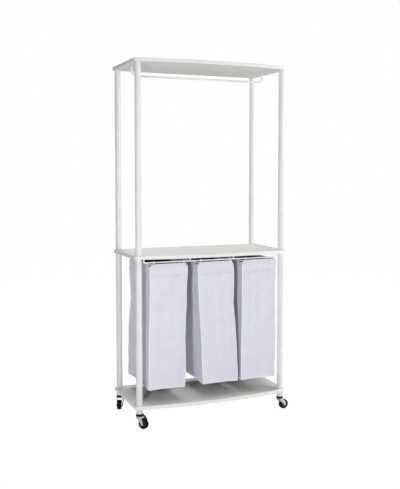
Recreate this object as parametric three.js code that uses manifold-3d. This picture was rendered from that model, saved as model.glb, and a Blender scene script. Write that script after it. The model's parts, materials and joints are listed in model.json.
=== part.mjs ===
// Laundry cart: three bow-fronted shelves on four posts, a hanging bar under the top shelf,
// three fabric bags on wire rails under the middle shelf, and four swivel casters.
// Millimetres, +Z up, front towards -Y, origin under the centre of the bounding box.
import * as THREE from 'three';
import { mergeVertices } from 'three/addons/utils/BufferGeometryUtils.js';
import Module from 'manifold-3d';

const wasm = await Module();
wasm.setup();

// ---- driving dimensions -------------------------------------------------------------------
const GAP = 0.3;                 // clearance left between pieces that touch

const POST_X = 385;              // half the distance between post axes, side to side
const POST_Y = 169;              // half the distance between post axes, front to back
const POST_R = 15;
const POST_WALL = 1;
const INSERT_LEN = 25;           // threaded insert pressed into each post end
const INSERT_BORE = 4.2;

const SHELF_T = 17;
const SHELF_END = 24;            // board beyond the post axes at each end
const SHELF_FRONT = 20;          // board in front of the front posts at the corners
const SHELF_BACK = 19;
const SHELF_BOW = 38;            // how far the front edge curves forward at the middle
const SHELF_CORNER = 26;
const SHELF_EDGE = 2.2;          // edge round-over
const SHELF_HOLE_R = 4.5;

const BOTTOM_Z = 94;             // underside of each shelf
const MIDDLE_Z = 823;
const TOP_Z = 1761;

const STUD_R = 3.9;
const SCREW_HEAD_R = 9;
const SCREW_HEAD_H = 3.6;
const COLLAR_H = 23.4;

const BAR_R = 5;
const BAR_X = 361;               // half the distance between the bar's upright ends
const BAR_Z = 1715;
const BAR_BEND = 30;
const SOCKET_DEPTH = 10;         // blind holes for the ends of the bar and of the rails

const RAIL_R = 3;
const RAIL_X = 359;
const RAIL_Y = 169;
const RAIL_Z = 804;
const RAIL_BEND = 9;
const RAIL_STRUT_X = 118;        // struts that hold each rail up between the bags

const BAG_CENTRES = [-230, 18, 263];
const BAG_LEANS = [-13, 26, -7]; // sideways offset of each bag's bottom
const BAG_NAMES = ['left', 'middle', 'right'];
const BAG_W = 194;
const BAG_D = 343;
const BAG_CORNER = 12;
const BAG_WALL = 2;
const BAG_TOP = 796.5;
const BAG_BOTTOM = 182;

const FRAME_WIRE_R = 2.5;
const FRAME_Z = 792;
const FRAME_BEND = 9;
const HOOK_WIRE_R = 1.9;
const HOOK_X = 78;               // hooks, measured from the bag's centre
const HOOK_REACH = 8;            // wire centre to rail centre, beside the rail

const WHEEL_R = 25;
const WHEEL_W = 22;
const WHEEL_SIDES = 24;
const AXLE_Z = WHEEL_R * Math.cos(Math.PI / WHEEL_SIDES);
const AXLE_R = 3;
const TRAIL = 25;                // swivel axis to wheel axle
const CHEEK_Y = 12.4;            // inner face of each fork cheek
const CHEEK_T = 2;
const CROWN_Z = 56;
const CROWN_T = 2.5;
const CROWN_R = 15;
const CAP_R = 17.5;
const CAP_H = 9;
const LEVER_Y = 14.8;            // inner face of the side brake lever, at its pivot
const LEVER_BORE_R = 5.6;        // turns round the head of the axle

const CORNERS = [
  { name: 'front_left', x: -POST_X, y: -POST_Y, trailDeg: -55, brake: true },
  { name: 'front_right', x: POST_X, y: -POST_Y, trailDeg: 9, brake: false },
  { name: 'rear_left', x: -POST_X, y: POST_Y, trailDeg: -112, brake: true },
  { name: 'rear_right', x: POST_X, y: POST_Y, trailDeg: 200, brake: false },
];

// ---- materials ----------------------------------------------------------------------------
const paint = (color, roughness, metalness) => () =>
  new THREE.MeshStandardMaterial({ color, roughness, metalness });
const WHITE_LAMINATE = paint(0xdcdcd6, 0.5, 0);
const WHITE_STEEL = paint(0xe9e9ea, 0.4, 0.1);
const WHITE_PLASTIC = paint(0xdad7e2, 0.45, 0);
const FABRIC = paint(0xdcdce8, 0.95, 0);
const ZINC = paint(0xaeb9be, 0.35, 0.9);
const BLACK_PLASTIC = paint(0x141416, 0.5, 0);
const BLACK_TYRE = paint(0x101011, 0.7, 0);

// ---- solid helpers ------------------------------------------------------------------------
function toManifold(geometry) {
  const bare = geometry.index ? geometry.toNonIndexed() : geometry.clone();
  bare.deleteAttribute('normal');
  bare.deleteAttribute('uv');
  const merged = mergeVertices(bare, 1e-4);
  const mesh = new wasm.Mesh({
    numProp: 3,
    vertProperties: new Float32Array(merged.attributes.position.array),
    triVerts: new Uint32Array(merged.index.array),
  });
  return new wasm.Manifold(mesh);
}

function toGeometry(solid) {
  const mesh = solid.getMesh();
  const geometry = new THREE.BufferGeometry();
  geometry.setAttribute('position', new THREE.BufferAttribute(new Float32Array(mesh.vertProperties), 3));
  geometry.setIndex(new THREE.BufferAttribute(new Uint32Array(mesh.triVerts), 1));
  const flat = geometry.toNonIndexed();
  flat.computeVertexNormals();
  return flat;
}

function union(...geometries) {
  return toGeometry(geometries.map(toManifold).reduce((a, b) => a.add(b)));
}

function subtract(geometry, ...cutters) {
  return toGeometry(cutters.map(toManifold).reduce((a, b) => a.subtract(b), toManifold(geometry)));
}

function intersect(a, b) {
  return toGeometry(toManifold(a).intersect(toManifold(b)));
}

// Upright cylinder from z0 to z1.
function pin(x, y, z0, z1, radius, sides) {
  const geometry = new THREE.CylinderGeometry(radius, radius, z1 - z0, sides);
  geometry.rotateX(Math.PI / 2);
  geometry.translate(x, y, (z0 + z1) / 2);
  return geometry;
}

// Solid of revolution about Z from [radius, z] pairs; a profile off the axis closes on itself.
function turned(profile, sides, turn = 0) {
  const points = profile.map(([r, z]) => new THREE.Vector2(r, z));
  if (profile[0][0] > 0) {
    points.push(points[0].clone());
  }
  const geometry = new THREE.LatheGeometry(points, sides);
  geometry.rotateX(Math.PI / 2);
  geometry.rotateZ(turn);
  return geometry;
}

// Round wire along a planar path. normal is the normal of the path's plane.
function wire(points, radius, sides, normal, closed = false) {
  const count = points.length;
  const positions = [];
  const index = [];
  points.forEach((point, i) => {
    const before = points[closed ? (i + count - 1) % count : Math.max(i - 1, 0)];
    const after = points[closed ? (i + 1) % count : Math.min(i + 1, count - 1)];
    const into = point.clone().sub(before).normalize();
    const out = after.clone().sub(point).normalize();
    const tangent = into.clone().add(out).normalize();
    const bend = into.lengthSq() && out.lengthSq() ? into.dot(tangent) : 1;
    const side = new THREE.Vector3().crossVectors(tangent, normal).normalize();
    for (let k = 0; k < sides; k += 1) {
      const angle = (2 * Math.PI * (k + 0.5)) / sides;
      const vertex = point.clone();
      vertex.addScaledVector(side, (radius * Math.cos(angle)) / bend);
      vertex.addScaledVector(normal, radius * Math.sin(angle));
      positions.push(vertex.x, vertex.y, vertex.z);
    }
  });
  const rings = closed ? count : count - 1;
  for (let i = 0; i < rings; i += 1) {
    const a = i * sides;
    const b = ((i + 1) % count) * sides;
    for (let k = 0; k < sides; k += 1) {
      const n = (k + 1) % sides;
      index.push(a + k, b + k, b + n, a + k, b + n, a + n);
    }
  }
  if (!closed) {
    const last = (count - 1) * sides;
    for (let k = 1; k < sides - 1; k += 1) {
      index.push(0, k, k + 1, last, last + k + 1, last + k);
    }
  }
  const geometry = new THREE.BufferGeometry();
  geometry.setAttribute('position', new THREE.Float32BufferAttribute(positions, 3));
  geometry.setIndex(index);
  const flat = geometry.toNonIndexed();
  flat.computeVertexNormals();
  return flat;
}

// Quarter bends: replaces each inner corner of a path by an arc of the given radius.
function rounded(corners, radius, steps, closed = false) {
  const result = [];
  corners.forEach((corner, i) => {
    const ends = !closed && (i === 0 || i === corners.length - 1);
    if (ends) {
      result.push(corner.clone());
      return;
    }
    const before = corners[(i + corners.length - 1) % corners.length];
    const after = corners[(i + 1) % corners.length];
    const u = before.clone().sub(corner).normalize();
    const v = after.clone().sub(corner).normalize();
    const centre = corner.clone().addScaledVector(u, radius).addScaledVector(v, radius);
    for (let s = 0; s <= steps; s += 1) {
      const angle = (Math.PI / 2) * (s / steps);
      const point = centre.clone();
      point.addScaledVector(v, -radius * Math.cos(angle));
      point.addScaledVector(u, -radius * Math.sin(angle));
      result.push(point);
    }
  });
  return result;
}

const vec = (x, y, z) => new THREE.Vector3(x, y, z);
const X_AXIS = vec(1, 0, 0);
const Y_AXIS = vec(0, 1, 0);
const Z_AXIS = vec(0, 0, 1);

const cart = new THREE.Group();
cart.name = 'laundry_cart';

function put(name, geometry, material, parent = cart) {
  const mesh = new THREE.Mesh(geometry, material());
  mesh.name = name;
  parent.add(mesh);
  return mesh;
}

// ---- shelves ------------------------------------------------------------------------------
function shelfOutline() {
  const halfX = POST_X + SHELF_END;
  const back = POST_Y + SHELF_BACK;
  const corner = -(POST_Y + SHELF_FRONT);
  const bowAt = (x) => corner - SHELF_BOW * (1 - (x / halfX) ** 2);
  const shape = new THREE.Shape();
  const r = SHELF_CORNER;
  const backR = SHELF_CORNER * 0.6;
  const frontSteps = 16;
  shape.moveTo(-halfX, corner + r * 0.8);
  shape.quadraticCurveTo(-halfX, bowAt(-halfX), -halfX + r, bowAt(-halfX + r));
  for (let i = 1; i <= frontSteps; i += 1) {
    const x = -halfX + r + (2 * (halfX - r) * i) / frontSteps;
    shape.lineTo(x, bowAt(x));
  }
  shape.quadraticCurveTo(halfX, bowAt(halfX), halfX, corner + r * 0.8);
  shape.lineTo(halfX, back - backR);
  shape.quadraticCurveTo(halfX, back, halfX - backR, back);
  shape.lineTo(-halfX + backR, back);
  shape.quadraticCurveTo(-halfX, back, -halfX, back - backR);
  shape.closePath();
  return shape;
}

function board() {
  const geometry = new THREE.ExtrudeGeometry(shelfOutline(), {
    depth: SHELF_T - 2 * SHELF_EDGE,
    bevelEnabled: true,
    bevelThickness: SHELF_EDGE,
    bevelSize: SHELF_EDGE,
    bevelOffset: -SHELF_EDGE,
    bevelSegments: 1,
    curveSegments: 4,
  });
  geometry.translate(0, 0, SHELF_EDGE);
  return geometry;
}

const postHoles = () => CORNERS.map(({ x, y }) => pin(x, y, -1, SHELF_T + 1, SHELF_HOLE_R, 10));

function shelf(name, z, sockets) {
  const geometry = subtract(board(), ...postHoles(), ...sockets);
  geometry.translate(0, 0, z);
  put(name, geometry, WHITE_LAMINATE);
}

const socket = (x, y, radius) => pin(x, y, -1, SOCKET_DEPTH, radius * 1.06 + GAP, 10);

function shelves() {
  shelf('bottom_shelf', BOTTOM_Z, []);
  const railFeet = [-RAIL_X, -RAIL_STRUT_X, RAIL_STRUT_X, RAIL_X];
  const railSockets = railFeet.flatMap((x) => [-RAIL_Y, RAIL_Y].map((y) => socket(x, y, RAIL_R)));
  shelf('middle_shelf', MIDDLE_Z, railSockets);
  shelf('top_shelf', TOP_Z, [socket(-BAR_X, 0, BAR_R), socket(BAR_X, 0, BAR_R)]);
}

// ---- posts and their fixings --------------------------------------------------------------
// Steel tube with a bored insert at each end.
function tube(length) {
  const inner = POST_R - POST_WALL;
  return turned(
    [
      [INSERT_BORE, 0],
      [POST_R, 0],
      [POST_R, length],
      [INSERT_BORE, length],
      [INSERT_BORE, length - INSERT_LEN],
      [inner, length - INSERT_LEN],
      [inner, INSERT_LEN],
      [INSERT_BORE, INSERT_LEN],
    ],
    16,
  );
}

const stud = (length) =>
  turned([[0, 0], [STUD_R - 1, 0], [STUD_R, 1], [STUD_R, length - 1], [STUD_R - 1, length], [0, length]], 8);

function capScrew() {
  const seat = SHELF_T + GAP;
  const tip = -(INSERT_LEN - 8);
  return turned(
    [
      [0, tip],
      [STUD_R - 1, tip],
      [STUD_R, tip + 1],
      [STUD_R, seat],
      [SCREW_HEAD_R, seat],
      [SCREW_HEAD_R, seat + 1.2],
      [SCREW_HEAD_R * 0.6, seat + SCREW_HEAD_H],
      [0, seat + SCREW_HEAD_H],
    ],
    12,
  );
}

function collar() {
  return turned(
    [[SHELF_HOLE_R, 0], [POST_R - 1, 0], [POST_R, 1], [POST_R, COLLAR_H], [SHELF_HOLE_R, COLLAR_H]],
    16,
  );
}

function posts() {
  const lowerStart = BOTTOM_Z + SHELF_T + GAP;
  const upperStart = MIDDLE_Z + SHELF_T + GAP;
  const studReach = INSERT_LEN - 5;
  CORNERS.forEach(({ name, x, y }) => {
    const place = (mesh, z) => mesh.position.set(x, y, z);
    place(put(`lower_post_${name}`, tube(MIDDLE_Z - GAP - lowerStart), WHITE_STEEL), lowerStart);
    place(put(`upper_post_${name}`, tube(TOP_Z - GAP - upperStart), WHITE_STEEL), upperStart);
    place(put(`post_stud_${name}`, stud(SHELF_T + 2 * studReach), ZINC), MIDDLE_Z - studReach);
    place(put(`top_screw_${name}`, capScrew(), ZINC), TOP_Z);
    place(put(`foot_collar_${name}`, collar(), WHITE_PLASTIC), BOTTOM_Z - GAP - COLLAR_H);
  });
}

// ---- hanging bar and bag rails ------------------------------------------------------------
// A rod with both ends bent up into the shelf above it.
function hungRod(halfX, y, z, top, radius, bend, sides) {
  const corners = [vec(-halfX, y, top), vec(-halfX, y, z), vec(halfX, y, z), vec(halfX, y, top)];
  return wire(rounded(corners, bend, 4), radius, sides, Y_AXIS);
}

// Bag rail: a hung rod with a strut welded on at each gap between the bags.
function rail(y) {
  const top = MIDDLE_Z + SOCKET_DEPTH - GAP;
  const rod = hungRod(RAIL_X, y, RAIL_Z, top, RAIL_R, RAIL_BEND, 8);
  const struts = [-RAIL_STRUT_X, RAIL_STRUT_X].map((x) => pin(x, y, RAIL_Z, top, RAIL_R, 8));
  return union(rod, ...struts);
}

function rods() {
  const barTop = TOP_Z + SOCKET_DEPTH - GAP;
  put('hanging_bar', hungRod(BAR_X, 0, BAR_Z, barTop, BAR_R, BAR_BEND, 10), WHITE_STEEL);
  put('front_rail', rail(-RAIL_Y), WHITE_STEEL);
  put('rear_rail', rail(RAIL_Y), WHITE_STEEL);
}

// ---- bags ---------------------------------------------------------------------------------
const roundRect = (halfX, halfY, radius, steps) =>
  rounded(
    [vec(-halfX, -halfY, 0), vec(halfX, -halfY, 0), vec(halfX, halfY, 0), vec(-halfX, halfY, 0)],
    radius,
    steps,
    true,
  );

// Skin through a stack of equal rings, closed at both ends.
function loft(rings) {
  const n = rings[0].length;
  const positions = [];
  const index = [];
  const middle = (ring) => ring.reduce((sum, p) => sum.add(p), vec(0, 0, 0)).divideScalar(n);
  rings.flat().forEach((p) => positions.push(p.x, p.y, p.z));
  [rings[0], rings[rings.length - 1]].forEach((ring) => positions.push(...middle(ring).toArray()));
  for (let i = 0; i < rings.length - 1; i += 1) {
    for (let k = 0; k < n; k += 1) {
      const a = i * n + k;
      const b = i * n + ((k + 1) % n);
      index.push(a, b, b + n, a, b + n, a + n);
    }
  }
  const first = rings.length * n;
  const top = (rings.length - 1) * n;
  for (let k = 0; k < n; k += 1) {
    index.push(first, (k + 1) % n, k);
    index.push(first + 1, top + k, top + ((k + 1) % n));
  }
  const geometry = new THREE.BufferGeometry();
  geometry.setAttribute('position', new THREE.Float32BufferAttribute(positions, 3));
  geometry.setIndex(index);
  const flat = geometry.toNonIndexed();
  flat.computeVertexNormals();
  return flat;
}

// Open-topped bag: outer rings going up, then inner rings going down to the inside of its floor.
function bag(lean) {
  const height = BAG_TOP - BAG_BOTTOM;
  const ring = (inset, z) => {
    const shift = lean * (1 - (z - BAG_BOTTOM) / height);
    const outline = roundRect(BAG_W / 2 - inset, BAG_D / 2 - inset, BAG_CORNER - inset, 4);
    return outline.map((p) => vec(p.x + shift, p.y, z));
  };
  const floor = BAG_BOTTOM + BAG_WALL;
  return loft([
    ring(8, BAG_BOTTOM),
    ring(2, BAG_BOTTOM + 3),
    ring(0, BAG_BOTTOM + 12),
    ring(0, BAG_TOP),
    ring(BAG_WALL, BAG_TOP),
    ring(BAG_WALL, floor + 12),
    ring(8, floor + 2),
  ]);
}

// One hook: rises inside the bag's mouth, passes over the rail and turns down outside it.
function hook(x, facing) {
  const inner = RAIL_Y - HOOK_REACH;
  const outer = RAIL_Y + HOOK_REACH;
  const crest = RAIL_Z + RAIL_R + GAP + HOOK_WIRE_R;
  const loopY = BAG_D / 2 - BAG_WALL - GAP - FRAME_WIRE_R;
  const path = [
    [loopY, FRAME_Z],
    [inner + 1, FRAME_Z + 5],
    [inner, RAIL_Z],
    [inner + 3.5, crest],
    [outer - 3.5, crest],
    [outer, RAIL_Z],
    [outer, RAIL_Z - 5],
  ];
  return wire(path.map(([y, z]) => vec(x, facing * y, z)), HOOK_WIRE_R, 5, X_AXIS);
}

function bagFrame() {
  const halfX = BAG_W / 2 - BAG_WALL - GAP - FRAME_WIRE_R;
  const halfY = BAG_D / 2 - BAG_WALL - GAP - FRAME_WIRE_R;
  const loop = wire(roundRect(halfX, halfY, FRAME_BEND, 3), FRAME_WIRE_R, 6, Z_AXIS, true);
  loop.translate(0, 0, FRAME_Z);
  const hooks = [-HOOK_X, HOOK_X].flatMap((x) => [-1, 1].map((facing) => hook(x, facing)));
  return union(loop, ...hooks);
}

function bags() {
  BAG_NAMES.forEach((name, i) => {
    put(`bag_${name}`, bag(BAG_LEANS[i]), FABRIC).position.x = BAG_CENTRES[i];
    put(`bag_frame_${name}`, bagFrame(), WHITE_STEEL).position.x = BAG_CENTRES[i];
  });
}

// ---- casters ------------------------------------------------------------------------------
// Each caster is drawn with the swivel axis on Z and the wheel trailing towards +X.
function casterStem() {
  const headZ = CROWN_Z - 3;
  const top = BOTTOM_Z + SHELF_T + INSERT_LEN - 6;
  return turned(
    [[0, headZ], [6.5, headZ], [6.5, CROWN_Z - GAP], [STUD_R, CROWN_Z - GAP],
      [STUD_R, top - 1], [STUD_R - 1, top], [0, top]],
    10,
  );
}

function swivelCap() {
  const z0 = CROWN_Z + CROWN_T + 0.6;
  const z1 = z0 + CAP_H;
  return turned(
    [[SHELF_HOLE_R, z0], [CAP_R, z0], [CAP_R, z1 - 4], [CAP_R - 2, z1], [SHELF_HOLE_R, z1]],
    16,
  );
}

// One cheek's outline in the X-Z plane, from the crown down to the axle.
function cheek() {
  const shape = new THREE.Shape();
  shape.moveTo(-9, CROWN_Z + CROWN_T);
  shape.lineTo(-9, CROWN_Z - 7);
  shape.lineTo(TRAIL - 7, AXLE_Z - 2);
  shape.absarc(TRAIL, AXLE_Z, 7, Math.PI + 0.29, 2 * Math.PI + 0.1, false);
  shape.lineTo(24, CROWN_Z - 8);
  shape.lineTo(12, CROWN_Z + CROWN_T);
  shape.closePath();
  const hole = new THREE.Path();
  hole.absarc(TRAIL, AXLE_Z, AXLE_R + GAP, 0, 2 * Math.PI, true);
  shape.holes.push(hole);
  const options = { depth: CHEEK_T, bevelEnabled: false, curveSegments: 5 };
  const geometry = new THREE.ExtrudeGeometry(shape, options);
  geometry.rotateX(Math.PI / 2);
  return geometry;
}

function fork() {
  const halfY = CHEEK_Y + CHEEK_T;
  const crown = new THREE.Shape();
  crown.moveTo(-9, -halfY);
  crown.lineTo(12, -halfY);
  crown.quadraticCurveTo(CROWN_R, 0, 12, halfY);
  crown.lineTo(-9, halfY);
  crown.quadraticCurveTo(-CROWN_R, 0, -9, -halfY);
  const hole = new THREE.Path();
  hole.absarc(0, 0, SHELF_HOLE_R, 0, 2 * Math.PI, true);
  crown.holes.push(hole);
  const plate = new THREE.ExtrudeGeometry(crown, { depth: CROWN_T, bevelEnabled: false, curveSegments: 5 });
  plate.translate(0, 0, CROWN_Z);
  const near = cheek().translate(0, -CHEEK_Y, 0);
  const far = cheek().translate(0, CHEEK_Y + CHEEK_T, 0);
  return union(plate, near, far);
}

function axle() {
  const reach = CHEEK_Y + CHEEK_T + GAP;
  const profile = [[0, -reach - 3], [4, -reach - 3], [5.2, -reach], [AXLE_R, -reach],
    [AXLE_R, reach], [5.2, reach], [4, reach + 3], [0, reach + 3]];
  const geometry = turned(profile, 10);
  geometry.rotateX(Math.PI / 2);
  return geometry;
}

// Tyre and hub in one: a flat tread with rounded shoulders and a dished hub face on each side.
function wheel() {
  const half = WHEEL_W / 2;
  const bore = AXLE_R + GAP;
  const side = (s) => [[bore, s * half], [8, s * half], [9, s * (half - 2.5)], [18, s * (half - 2.5)],
    [19, s * (half - 0.5)], [WHEEL_R - 2.4, s * (half - 0.8)], [WHEEL_R, s * (half - 4)]];
  const profile = [...side(-1), ...side(1).reverse()];
  const geometry = turned(profile, WHEEL_SIDES, Math.PI / WHEEL_SIDES);
  geometry.rotateX(Math.PI / 2);
  geometry.rotateY(Math.PI / 2);
  return geometry;
}

// Outline given as [across, up] pairs, standing upright and reaching from y0 to y1.
function upright(points, y0, y1) {
  const shape = new THREE.Shape(points.map(([x, z]) => new THREE.Vector2(x, z)));
  const geometry = new THREE.ExtrudeGeometry(shape, { depth: y1 - y0, bevelEnabled: false });
  geometry.rotateX(Math.PI / 2);
  geometry.translate(0, y1, 0);
  return geometry;
}

// Side brake: a curved strap that turns round the axle's head, its foot tab beside the swivel cap.
function brakeLever() {
  const side = upright([
    [18, 18.5], [21.5, 16.2], [28.5, 16.2], [32.5, 19.5], [33.5, 29], [32.5, 38.5], [28.5, 47], [21, 55.5],
    [11.5, 62.5], [5.5, 67], [3.5, 72], [-4.5, 72], [-7.5, 67], [-3, 60], [4.5, 51.5], [11, 42.5], [15, 33],
  ], LEVER_Y - 1, 24);
  const section = upright([
    [LEVER_Y, 15], [18.2, 15], [18.2, 26], [19.4, 32], [21.6, 39], [22.7, 48], [22.5, 57], [21.2, 65],
    [19.2, 70], [17.6, 73], [17.2, 69], [18.2, 66.5], [19.2, 62], [19.8, 55], [19.7, 48], [18.6, 40],
    [16.6, 33], [LEVER_Y, 28],
  ], -36, 8);
  section.rotateZ(Math.PI / 2);
  const bore = pin(0, 0, LEVER_Y - 1, 24, LEVER_BORE_R, 16);
  bore.rotateX(-Math.PI / 2);
  bore.translate(TRAIL, 0, AXLE_Z);
  return subtract(intersect(side, section), bore);
}

function casters() {
  CORNERS.forEach(({ name, x, y, trailDeg, brake }) => {
    const caster = new THREE.Group();
    caster.name = `caster_${name}`;
    caster.position.set(x, y, 0);
    caster.rotation.z = THREE.MathUtils.degToRad(trailDeg);
    cart.add(caster);
    put(`caster_stem_${name}`, casterStem(), ZINC, caster);
    put(`swivel_cap_${name}`, swivelCap(), BLACK_PLASTIC, caster);
    put(`fork_${name}`, fork(), ZINC, caster);
    put(`axle_${name}`, axle(), ZINC, caster).position.set(TRAIL, 0, AXLE_Z);
    put(`wheel_${name}`, wheel(), BLACK_TYRE, caster).position.set(TRAIL, 0, AXLE_Z);
    if (brake) {
      put(`brake_lever_${name}`, brakeLever(), BLACK_PLASTIC, caster);
    }
  });
}

shelves();
posts();
rods();
bags();
casters();

// Bring the centre of the bounding box over the origin.
cart.updateMatrixWorld(true);
const extent = new THREE.Box3().setFromObject(cart, true);
const centre = extent.getCenter(new THREE.Vector3());
cart.position.set(-centre.x, -centre.y, -extent.min.z);
cart.updateMatrixWorld(true);

export default cart;
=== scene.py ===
"""Laundry cart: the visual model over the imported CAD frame.

Metres, +Z up, the bowed front towards -Y, the origin on the floor under the middle of the cart.
Each bag's cloth is simulated here once and kept as a plain mesh, so nothing is left to simulate.
"""
import json
import math
import random

import bmesh
import bpy
from mathutils import Euler, Matrix, Vector, noise


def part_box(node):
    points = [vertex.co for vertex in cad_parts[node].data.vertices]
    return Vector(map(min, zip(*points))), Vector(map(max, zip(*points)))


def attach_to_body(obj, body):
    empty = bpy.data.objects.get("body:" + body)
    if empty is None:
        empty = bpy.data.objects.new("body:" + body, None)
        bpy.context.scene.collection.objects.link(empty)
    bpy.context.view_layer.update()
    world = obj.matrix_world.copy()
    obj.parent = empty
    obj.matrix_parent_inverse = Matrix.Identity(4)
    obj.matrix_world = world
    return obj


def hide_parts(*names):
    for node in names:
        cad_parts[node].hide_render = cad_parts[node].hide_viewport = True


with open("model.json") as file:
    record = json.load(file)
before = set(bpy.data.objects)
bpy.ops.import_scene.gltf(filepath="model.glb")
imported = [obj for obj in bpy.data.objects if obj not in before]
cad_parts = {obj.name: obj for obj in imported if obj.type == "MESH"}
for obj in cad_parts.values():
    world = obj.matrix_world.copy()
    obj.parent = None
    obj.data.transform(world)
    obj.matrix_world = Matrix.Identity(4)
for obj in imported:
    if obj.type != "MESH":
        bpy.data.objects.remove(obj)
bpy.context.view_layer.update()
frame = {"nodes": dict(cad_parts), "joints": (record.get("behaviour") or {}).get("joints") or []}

MM = 0.001
CORNERS = ("front_left", "front_right", "rear_left", "rear_right")
BAGS = ("left", "middle", "right")
JOINTS = {joint["name"]: joint for joint in frame["joints"]}


# ---- node materials ----
class Shader:
    """A Principled material and short ways to add nodes to it."""

    def __init__(self, name, colour, roughness, metallic=0.0):
        self.material = bpy.data.materials.new(name)
        self.material.use_nodes = True
        self.tree = self.material.node_tree
        self.base = self.tree.nodes["Principled BSDF"]
        self.set("Base Color", (*colour, 1.0))
        self.set("Roughness", roughness)
        self.set("Metallic", metallic)
        coordinates = self.tree.nodes.new("ShaderNodeTexCoord")
        self.place = coordinates.outputs["Object"]
        self.uv = coordinates.outputs["UV"]
        self.height = None

    def set(self, socket, value):
        self.base.inputs[socket].default_value = value

    def node(self, kind, constants=(), **settings):
        """A new node; constants are (input, value) pairs."""
        made = self.tree.nodes.new(kind)
        for key, value in constants:
            made.inputs[key].default_value = value
        for key, value in settings.items():
            setattr(made, key, value)
        return made

    def link(self, source, target):
        self.tree.links.new(source, target)

    def noise(self, scale, detail=3.0, stretch=(1, 1, 1), source=None):
        mapping = self.node("ShaderNodeMapping", [("Scale", stretch)])
        self.link(source or self.place, mapping.inputs["Vector"])
        texture = self.node("ShaderNodeTexNoise", [("Scale", scale), ("Detail", detail)])
        self.link(mapping.outputs["Vector"], texture.inputs["Vector"])
        return texture.outputs["Fac"]

    def ramp(self, value, low, high, start, end):
        """low and high are greys or colours; value runs from one to the other."""
        ramp = self.node("ShaderNodeValToRGB")
        for element, position, shade in zip(ramp.color_ramp.elements, (start, end), (low, high)):
            element.position = position
            element.color = (shade,) * 3 + (1,) if isinstance(shade, float) else (*shade, 1)
        self.link(value, ramp.inputs["Fac"])
        return ramp.outputs["Color"]

    def colour(self, value, low, high):
        self.link(self.ramp(value, low, high, 0.35, 0.65), self.base.inputs["Base Color"])

    def roughness(self, value, low, high):
        self.link(self.ramp(value, low, high, 0.3, 0.7), self.base.inputs["Roughness"])

    def bump(self, value, strength, distance):
        bump = self.node("ShaderNodeBump", [("Strength", strength), ("Distance", distance)])
        self.link(value, bump.inputs["Height"])
        if self.height is not None:
            self.link(self.height, bump.inputs["Normal"])
        self.height = bump.outputs["Normal"]
        self.link(self.height, self.base.inputs["Normal"])

    def waves(self, scale, direction, source):
        constants = [("Scale", scale), ("Distortion", 0.6), ("Detail", 1.0)]
        wave = self.node("ShaderNodeTexWave", constants, bands_direction=direction)
        self.link(source, wave.inputs["Vector"])
        return wave.outputs["Fac"]

    def product(self, a, b):
        made = self.node("ShaderNodeMath", operation="MULTIPLY")
        self.link(a, made.inputs[0])
        self.link(b, made.inputs[1])
        return made.outputs[0]


def powder_coat(name, low, high):
    shader = Shader(name, low, 0.36)
    shader.colour(shader.noise(14), low, high)
    shader.roughness(shader.noise(60), 0.32, 0.44)
    shader.bump(shader.noise(620, 2), 0.10, 0.0004)
    return shader.material


def laminate(name, low, high, gloss):
    shader = Shader(name, low, gloss)
    shader.colour(shader.noise(9, 5, (1, 4, 4)), low, high)
    shader.roughness(shader.noise(35), gloss - 0.05, gloss + 0.08)
    shader.bump(shader.noise(420, 3, (0.35, 1, 1)), 0.12, 0.0003)
    shader.bump(shader.noise(1500, 2), 0.06, 0.0001)
    return shader.material


def cloth(name, low, high, pitch):
    shader = Shader(name, low, 0.9)
    shader.set("Sheen Weight", 0.25)
    shader.set("Sheen Roughness", 0.5)
    shader.colour(shader.noise(22, 4), low, high)
    shader.roughness(shader.noise(180), 0.84, 0.96)
    threads = 1.0 / (20.0 * pitch)
    across = shader.waves(threads, "X", shader.uv)
    along = shader.waves(threads, "Y", shader.uv)
    shader.bump(shader.noise(90, 3), 0.12, 0.0012)
    shader.bump(shader.noise(260, 2, (1, 9, 1), shader.uv), 0.10, 0.0004)
    shader.bump(shader.product(across, along), 0.30, 0.0003)
    return shader.material


def thread():
    shader = Shader("seam_thread", (0.70, 0.70, 0.78), 0.7)
    shader.bump(shader.noise(2200, 2), 0.3, 0.0002)
    return shader.material


def zinc():
    shader = Shader("zinc_plate", (0.62, 0.68, 0.71), 0.30, 0.85)
    shader.colour(shader.noise(160, 4), (0.56, 0.62, 0.65), (0.76, 0.81, 0.83))
    shader.roughness(shader.noise(90), 0.26, 0.42)
    shader.bump(shader.noise(700, 3), 0.12, 0.0003)
    return shader.material


def moulded(name, low, high, gloss, grain=900, shine=0.5):
    shader = Shader(name, low, gloss)
    shader.set("Specular IOR Level", shine)
    shader.colour(shader.noise(120), low, high)
    shader.roughness(shader.noise(140), gloss - 0.06, gloss + 0.1)
    shader.bump(shader.noise(grain, 3), 0.18, 0.0003)
    return shader.material


COAT = powder_coat("white_powder_coat", (0.81, 0.81, 0.82), (0.86, 0.86, 0.87))
# A lighter copy of the white powder coat for the rails and bag wires: painted light for the light
# on these thin wires.
WIRE_COAT_LIT = powder_coat("wire_coat_painted_light", (0.93, 0.93, 0.93), (0.97, 0.97, 0.97))
BOARD_FACE = laminate("laminate_face", (0.74, 0.74, 0.715), (0.77, 0.77, 0.745), 0.50)
# The edge band is the board's laminate painted lighter: painted light for the brighter vertical
# edges.
BOARD_EDGE_LIT = laminate("laminate_edge_painted_light", (0.87, 0.87, 0.835), (0.90, 0.90, 0.87), 0.42)
BAG_CLOTH = cloth("bag_cloth", (0.735, 0.735, 0.84), (0.765, 0.765, 0.865), 0.0011)
# Near-black cloth inside each bag and on its turned-in hem: painted shade for the dark interior.
BAG_INSIDE_SHADE = cloth("bag_inside_painted_shade", (0.052, 0.045, 0.041), (0.070, 0.061, 0.055), 0.0009)
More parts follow.
